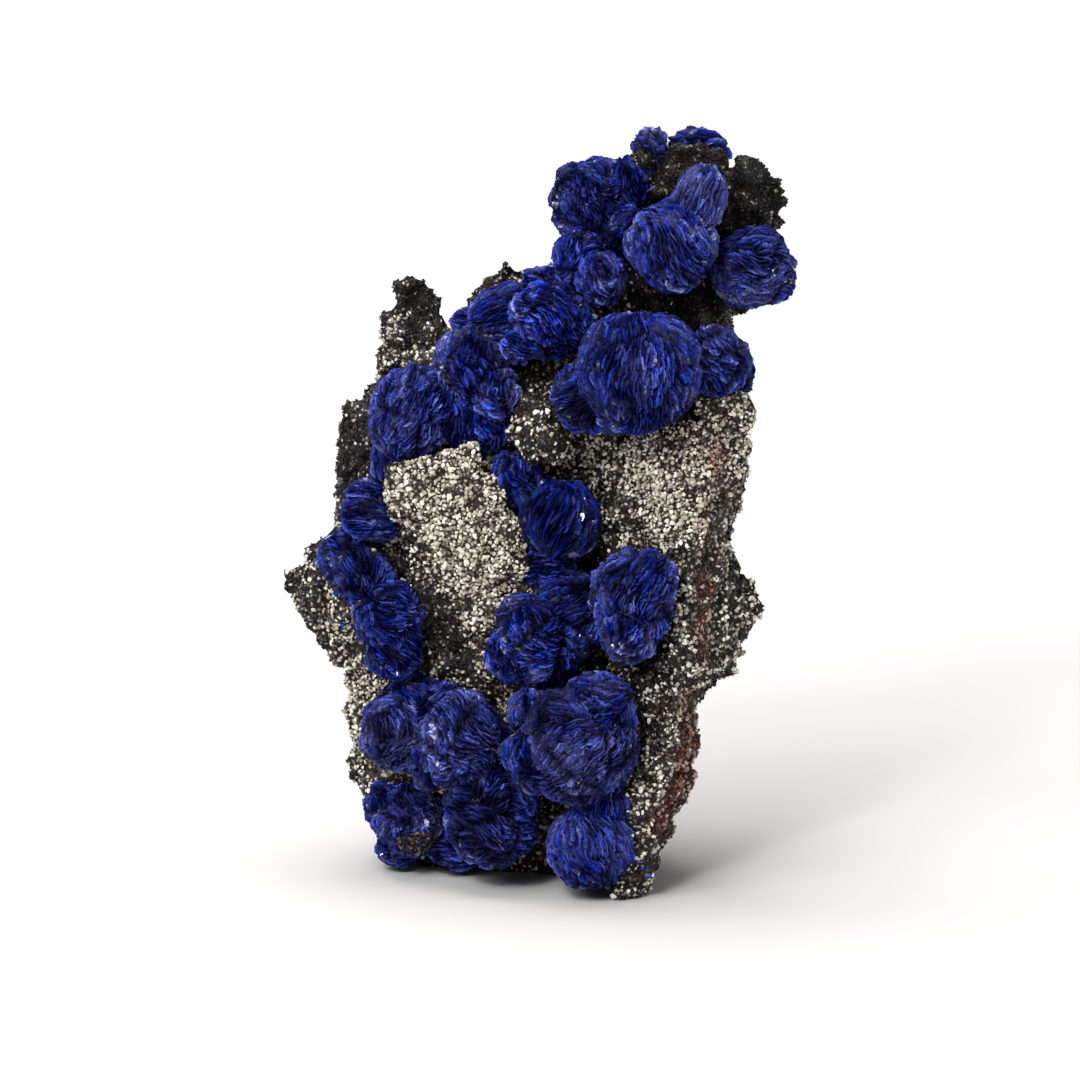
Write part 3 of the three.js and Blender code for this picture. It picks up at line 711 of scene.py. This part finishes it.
def spot_mean(points, spots, base, pull=6):
    """Mean of the spots' values at each point, and of a base value that has weight 1.

    A spot has weight pull x exp(-(distance / reach)^2).
    """
    total, weight = np.full(len(points), base), np.ones(len(points))
    for across, up, back, reach, value in spots:
        near = pull * np.exp(-np.sum((points - seen(across, up, back)) ** 2, axis=1) / reach**2)
        total += near * value
        weight += near
    return total / weight


def behind(points):
    """0 on the front, rising to 1 from 4 to 8 mm back, where no place of a patch is known."""
    return np.clip((points[:, 1] - 4) / 4, 0, 1)


def whiteness(points):
    """How white the crust is, 0 to 1: the soft spots, plus patches of 4 mm, and of 8 mm on the back."""
    patches = 0.2 * swell(points, 4, 2, salt=21) + 0.6 * behind(points) * swell(points, 8, 2, salt=24)
    return np.clip(spot_mean(points, WHITE_SPOTS, base=0.42) + patches, 0, 1)


def rustiness(points):
    """How rusty the crust is, 0 to 1: the soft spots, faint patches, and iron stains on the back."""
    stains = behind(points) * np.clip(1.2 * swell(points, 7, 2, salt=25) - 0.2, 0, 0.5)
    patches = 0.08 * swell(points, 3, 2, salt=22) + stains
    return np.clip(spot_mean(points, RUST_SPOTS, base=0.0) + patches, 0, 1)


# %% [markdown]
# ## Rock and crust
# The crust is made of rounded grains of 0.2 to 0.5 mm, pale carbonate beside black iron and manganese
# oxide. A Voronoi texture's cells stand for the smallest of them: the distance from a cell's middle
# gives a dome for the bump, and the seams between domes are painted near black, as painted shade
# between the grains. Each cell draws its own number, which is compared with how white the crust is
# there. The bigger grains are real geometry, further down.

# %% Rock finish
rock_stone, tree, shader = new_material("iron_and_manganese_rock")
where = add(tree, "ShaderNodeTexCoord").outputs["Object"]
white, rust = attribute(tree, "white"), attribute(tree, "rust")
# Grains of 0.34 mm, with their outlines pulled about by noise so that they aren't round.
wander = noise(tree, where, 0.3, 2.0).outputs["Color"]
bent = add(tree, "ShaderNodeVectorMath", {"operation": "SCALE"}, {0: wander, "Scale": 0.35 * MM})
moved = add(tree, "ShaderNodeVectorMath", {"operation": "ADD"}, {0: where, 1: bent.outputs[0]})
cells = add(tree, "ShaderNodeTexVoronoi", inputs={"Vector": moved.outputs[0], "Scale": 1 / (0.34 * MM)})
dome = mapped(tree, cells.outputs["Distance"], 0.2, 0.62, 1.0, 0.0, "SMOOTHSTEP")
# A cell's colour is three random numbers: one for pale or dark, one for its tone, one for its glint.
draws = add(tree, "ShaderNodeSeparateColor", inputs={"Color": cells.outputs["Color"]})
kind_draw, tone_draw, glint_draw = (draws.outputs[k] for k in range(3))
is_pale = mapped(tree, maths(tree, "SUBTRACT", white, kind_draw), -0.12, 0.08, 0.0, 1.0)
dark = ramp(tree, tone_draw, [(0.0, "#010101"), (0.6, "#0B0A0A"), (1.0, "#2E2A28")])
pale = ramp(tree, tone_draw, [(0.0, "#6A5A47"), (0.5, "#AAA191"), (1.0, "#E4DFD2")])
# Where the crust is whiter, the dark grains carry some of its dust, and the seams' painted shade is
# browner with it.
dusty = blend(tree, white, dark, linear("#4C443B"))
seam_shade_and_dust = ramp(tree, white, [(0.0, "#040302"), (0.65, "#100905"), (1.0, "#281B11")])
reddened = blend(tree, rust, blend(tree, is_pale, dusty, pale), linear("#683228"))
# One cell in eight has a clean face that glints.
rock_look = {
    "Base Color": blend(tree, dome, seam_shade_and_dust, reddened),
    "Normal": bumped(tree, dome, strength=0.9, distance=0.16),
    "Roughness": mapped(tree, glint_draw, 0.85, 0.9, 0.55, 0.18),
    "Coat Weight": mapped(tree, glint_draw, 0.85, 0.9, 0.0, 1.0),
    "Coat Roughness": 0.15,
    "Specular IOR Level": 0.22,
}
set_inputs(tree, shader, rock_look)
print("rock:", len(tree.nodes), "nodes")

# %% Rock piece
marks = {"white": 0.8 * whiteness(skin), "rust": rustiness(skin)}
rock = new_piece("rock_skin", skin, skin_faces, rock_stone, smooth=True, **marks)
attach(rock, "root")
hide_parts("matrix_rock")

# %% [markdown]
# ## Making the rosettes
# A blade that would start inside the rock or inside another ball can't be seen, so it is left out.

# %% Rosettes
BURIED_BY = 0.35


def inside_rock(points):
    """Which points lie more than BURIED_BY under the rock's skin: their nearest face looks away."""
    answer = np.zeros(len(points), bool)
    for i, point in enumerate(points):
        near, normal, _, distance = skin_tree.find_nearest(Vector(point))
        answer[i] = (Vector(point) - near).dot(normal) < 0 and distance > BURIED_BY
    return answer


def inside_balls(points, own):
    """Which points lie in a ball other than their own, within its radius less BURIED_BY."""
    answer = np.zeros(len(points), bool)
    for other in all_balls:
        if other is not own:
            away = points - other["centre"]
            along = away @ other["pole"]
            away = away - along[:, None] * other["pole"] * (1 - 1 / other["long"])
            answer |= np.linalg.norm(away, axis=1) < other["radius"] - BURIED_BY
    return answer


def buried(points, own):
    """Which points are out of sight, in the rock or in another ball."""
    return inside_balls(points, own) | inside_rock(points)


for number, (name, balls) in enumerate(clusters.items()):
    parts = []
    for k, shape in enumerate(balls):
        seed = 100 * number + k + 1
        parts += [core(shape, seed), blades(shape, seed, hidden=partial(buried, own=shape))]
    points, faces, values = stacked(parts)
    rosette = new_piece(name + "_blades", points, faces, azurite, **values)
    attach(rosette, "root")
    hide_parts(name)

# %% [markdown]
# ## The crust's grains
# The crust is made of separate rounded grains a few tenths of a millimetre wide, which a bump pattern
# can't give at the outline. A pale grain is an icosahedron and a dark one an octahedron, with the
# corners shaken. Points are scattered over the skin, and one is kept in each cell of a grid as wide
# as a grain, so that they lie side by side.


# %% Scatter and grains
def scatter(count, spacing, rng):
    """Points on the rock's skin, with normals: random by area, then one for each cell that wide."""
    corners = skin[skin_faces]
    normals = np.cross(corners[:, 1] - corners[:, 0], corners[:, 2] - corners[:, 0])
    area = np.linalg.norm(normals, axis=1)
    pick = rng.choice(len(area), count, p=area / area.sum())
    a, b = rng.uniform(size=(2, count))
    a, b = np.where(a + b > 1, 1 - a, a), np.where(a + b > 1, 1 - b, b)
    c = corners[pick]
    points = c[:, 0] + a[:, None] * (c[:, 1] - c[:, 0]) + b[:, None] * (c[:, 2] - c[:, 0])
    _, first = np.unique(np.floor(points / spacing).astype(int), axis=0, return_index=True)
    return points[first], unit(normals[pick[first]])


OCTA_POINTS = np.array([(1.0, 0, 0), (-1.0, 0, 0), (0, 1.0, 0), (0, -1.0, 0), (0, 0, 1.0), (0, 0, -1.0)])
GOLDEN = (1 + math.sqrt(5)) / 2
flat = [(s, t * GOLDEN) for s in (-1.0, 1.0) for t in (-1, 1)]
ICO_POINTS = unit(
    np.array([(s, t, 0) for s, t in flat] + [(0, s, t) for s, t in flat] + [(t, 0, s) for s, t in flat])
)


def outward_triangles(points):
    """A regular solid's faces: all triples of corners that are one edge apart, wound to face outwards."""
    edge_length = np.min(np.linalg.norm(points[0] - points[1:], axis=1))
    near = np.linalg.norm(points[:, None] - points[None], axis=-1) < edge_length * 1.1
    faces = np.argwhere(near[:, :, None] & near[None] & near[:, None])
    faces = faces[(faces[:, 0] < faces[:, 1]) & (faces[:, 1] < faces[:, 2])]
    first, second, third = (points[faces[:, k]] for k in range(3))
    flip = np.sum(np.cross(second - first, third - first) * first, axis=1) < 0
    faces[flip] = faces[flip][:, ::-1]
    return faces


def grains(solid, points, normals, size, rng):
    """(points, faces) of a shaken copy of the solid at each place, its middle 0.3 x size over the skin."""
    count = len(points)
    spin = np.linalg.qr(rng.normal(size=(count, 3, 3)))[0]
    spin[np.linalg.det(spin) < 0] *= -1
    shaken = solid * rng.uniform(0.6, 1.25, (count, len(solid), 1)) * rng.uniform(0.55, 1.3, (count, 1, 3))
    placed = np.einsum("nij,nkj->nki", spin, shaken) * size[:, None, None]
    out = (points + normals * (0.3 * size)[:, None])[:, None] + placed
    faces = outward_triangles(solid)[None] + len(solid) * np.arange(count)[:, None, None]
    return out.reshape(-1, 3), faces.reshape(-1, 3)


# %% [markdown]
# ## The grains' finish
# A grain's tone runs from black oxide over brown to white carbonate, and rust reddens it.

# %% Grain finish
crust, tree, shader = new_material("carbonate_and_oxide_crust")
where = add(tree, "ShaderNodeTexCoord").outputs["Object"]
tones = [(0.0, "#030304"), (0.25, "#121113"), (0.5, "#4A4138"), (0.75, "#AAA08F"), (1.0, "#F2EEE2")]
clean = ramp(tree, attribute(tree, "tone"), tones)
dust = noise(tree, where, 0.25, 3.0).outputs["Fac"]
crust_look = {
    "Base Color": blend(tree, attribute(tree, "rust"), clean, linear("#A46253")),
    "Normal": bumped(tree, dust, strength=0.4, distance=0.05),
    "Roughness": 0.36,
    "Specular IOR Level": 0.3,
}
set_inputs(tree, shader, crust_look)
print("crust:", len(tree.nodes), "nodes")

# %% [markdown]
# ## Placing the grains
# Most grains lie on the rock. A few have settled on the corner's front ball, and here and there on
# the left flank and at the right foot the crust holds crumbs of azurite, where a rosette has just
# begun.

# %% Place the grains
LOWEST_GRAIN = 0.35
BLUE_SPOTS = [
    (-16.4, 26, 0, 1.6, 0.8), (-15.5, 22.5, 0, 1.5, 0.7), (-14.6, 18.5, 0, 1.6, 0.7),
    (-17.4, 28.6, 2, 1.4, 0.5), (10, 1.6, -8, 1.3, 0.6), (-15.2, 30.6, 2, 1.2, 0.6),
    (9.2, 9.5, -9, 1, 0.4),
]


def crown_of(points):
    """0 below the crown, rising to 1 from 44 to 49 mm up."""
    return np.clip((points[:, 2] - 44) / 5, 0, 1)


rng = np.random.default_rng(7)
places, facing = scatter(count=400_000, spacing=0.38, rng=rng)
# A patch on the corner's front ball, which was made with the seed 1201: 2.1 mm each way, but less high.
corner_ball, corner_seed = clusters["corner_rosettes"][0], 1201
patch_ways = scattered(2600, rng)
patch = surface(corner_ball, patch_ways, corner_seed)
settled = np.linalg.norm((patch - seen(-9.3, 2.8, -2.2)) * [1, 1, 1.7], axis=1) < 2.1
white = whiteness(places)
strings = swell(places, 0.85, 1, salt=31)
is_white = rng.uniform(size=len(places)) < np.clip(1.3 * white - 0.15, 0.0, 1)
sparse = rng.uniform(size=len(places)) < 0.75 - 0.6 * white
dark_strings = strings < 0.1 + 0.4 * crown_of(places)
wanted = np.where(is_white, strings > 0.1 - 0.35 * white, dark_strings & sparse)
keep = (places[:, 2] > LOWEST_GRAIN) & ~inside_balls(places, None) & wanted
places = np.concatenate([places[keep], patch[settled]])
facing = np.concatenate([facing[keep], patch_ways[settled]])
is_white = np.concatenate([is_white[keep], rng.uniform(size=settled.sum()) < 0.25])
on_ball = np.arange(len(places)) >= keep.sum()
crown = crown_of(places)
size = rng.uniform(0.1, 0.25, len(places)) * np.where(is_white, 1, 1 - 0.25 * crown)
dark_tone = rng.uniform(0, 1, len(places)) ** 1.6 * 0.58 * (1 - 0.65 * crown)
tone = np.where(is_white, rng.uniform(0.5, 1.0, len(places)) ** 0.6, dark_tone)
tone = np.where(on_ball, rng.uniform(0.05, 0.65, len(places)), tone)
rust = rustiness(places) * rng.uniform(0.2, 1.0, len(places))
is_blue = rng.uniform(size=len(places)) < spot_mean(places, BLUE_SPOTS, base=0.0, pull=3)
print(len(places), "grains")

# %% [markdown]
# ## Making the grains
# The pale grains, the dark ones and the crumbs are pieces of their own, cut up where one would be too
# big.

# %% Grain pieces
PIECE_TRIANGLES = 180_000
LOWEST_CORNER = 0.02
kinds = {
    "pale_grains": (ICO_POINTS, is_white & ~is_blue, crust, "matrix"),
    "dark_grains": (OCTA_POINTS, ~is_white & ~is_blue, crust, "matrix"),
    "azurite_crumbs": (OCTA_POINTS, is_blue, azurite, "azurite"),
}
for name, (solid, chosen, finish, slot) in kinds.items():
    triangles = chosen.sum() * len(outward_triangles(solid))
    parts = np.array_split(np.flatnonzero(chosen), math.ceil(triangles / PIECE_TRIANGLES))
    for number, part in enumerate(parts):
        points, faces = grains(solid, places[part], facing[part], size[part], rng)
        points[:, 2] = np.maximum(points[:, 2], LOWEST_CORNER)
        each = np.repeat(rng.uniform(0, 1, len(part)), len(solid))
        if finish is azurite:
            edge_and_painted_light = np.full(len(points), 0.8)
            values = {"edge_and_painted_light": edge_and_painted_light, "blade": each, "across": 40 * each, "gloss": each**4}
        else:
            values = {"tone": np.repeat(tone[part], len(solid)), "rust": np.repeat(rust[part], len(solid))}
        piece = new_piece(f"{name}_{number + 1}", points, faces, finish, **values)
        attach(piece, "root")

# %% [markdown]
# ## Floor
# A pale card fills the view. Light behind it evens it out: none near the specimen, rising evenly to
# 450 mm away.

# %% Floor
floor_card, tree, shader = new_material("white_card")
where = add(tree, "ShaderNodeTexCoord").outputs["Object"]
away = add(tree, "ShaderNodeVectorMath", {"operation": "LENGTH"}, {0: where}).outputs["Value"]
card_look = {
    "Base Color": linear("#C6C5C3"),
    "Roughness": 0.9,
    "Specular IOR Level": 0.1,
    "Emission Color": (1.0, 1.0, 1.0, 1.0),
    "Emission Strength": mapped(tree, away, 25 * MM, 450 * MM, 0.0, 0.8),
}
set_inputs(tree, shader, card_look)
corners = np.array([(-1500.0, -1500, 0), (1500, -1500, 0), (1500, 2500, 0), (-1500, 2500, 0)])
floor = new_piece("floor", corners, np.array([(0, 1, 2), (0, 2, 3)]), floor_card)

# %% [markdown]
# ## Light
# Most of the light comes from two broad soft boxes, one above the front left and one overhead, with a
# weaker one at the right, and the white surroundings fill the shadows. A small lamp beside the first
# gives smooth faces their glints.

# %% Light
world = bpy.data.worlds.new("studio")
world.use_nodes = True
surroundings = world.node_tree.nodes["Background"]
set_inputs(world.node_tree, surroundings, {"Color": (1.0, 1.0, 1.0, 1.0), "Strength": 0.14})
bpy.context.scene.world = world


def soft_box(name, place, size, power):
    """A square area lamp at a place in mm, aimed at the middle of the specimen."""
    lamp = bpy.data.lights.new(name, "AREA")
    lamp.size, lamp.energy = size * MM, power
    holder = bpy.data.objects.new(name, lamp)
    holder.location = Vector(place) * MM
    aim = Vector((0, 0, 30)) - Vector(place)
    holder.rotation_euler = aim.to_track_quat("-Z", "Y").to_euler()
    bpy.context.scene.collection.objects.link(holder)


soft_box("key_box", (-190, -270, 330), 300, 1.7)
soft_box("top_box", (-40, 50, 380), 280, 1.8)
soft_box("side_box", (380, -160, 160), 160, 0.5)
soft_box("spark_lamp", (-130, -300, 280), 60, 0.6)

# %% [markdown]
# ## Camera
# The camera stands 600 mm away and looks down by 12 degrees. A pixel of its picture is 0.084 mm wide
# at the specimen: focal length = sensor width x distance / width of the view.

# %% Camera
SENSOR, PICTURE_PIXELS, MM_A_PIXEL = 36, 1080, 0.084
lens = bpy.data.cameras.new("front_camera")
lens.sensor_width = SENSOR
lens.lens = SENSOR * VIEW_DISTANCE / (PICTURE_PIXELS * MM_A_PIXEL)
lens.clip_start, lens.clip_end = 0.01, 20
camera = bpy.data.objects.new("front_camera", lens)
look = np.array([0, math.cos(VIEW_DOWN), -math.sin(VIEW_DOWN)])
camera.location = Vector((VIEW_TARGET - look * VIEW_DISTANCE) * MM)
camera.rotation_euler = (math.pi / 2 - VIEW_DOWN, 0, 0)
bpy.context.scene.collection.objects.link(camera)
bpy.context.scene.camera = camera
bpy.context.scene.view_settings.view_transform = "Standard"
print(f"lens: {lens.lens:.0f} mm")
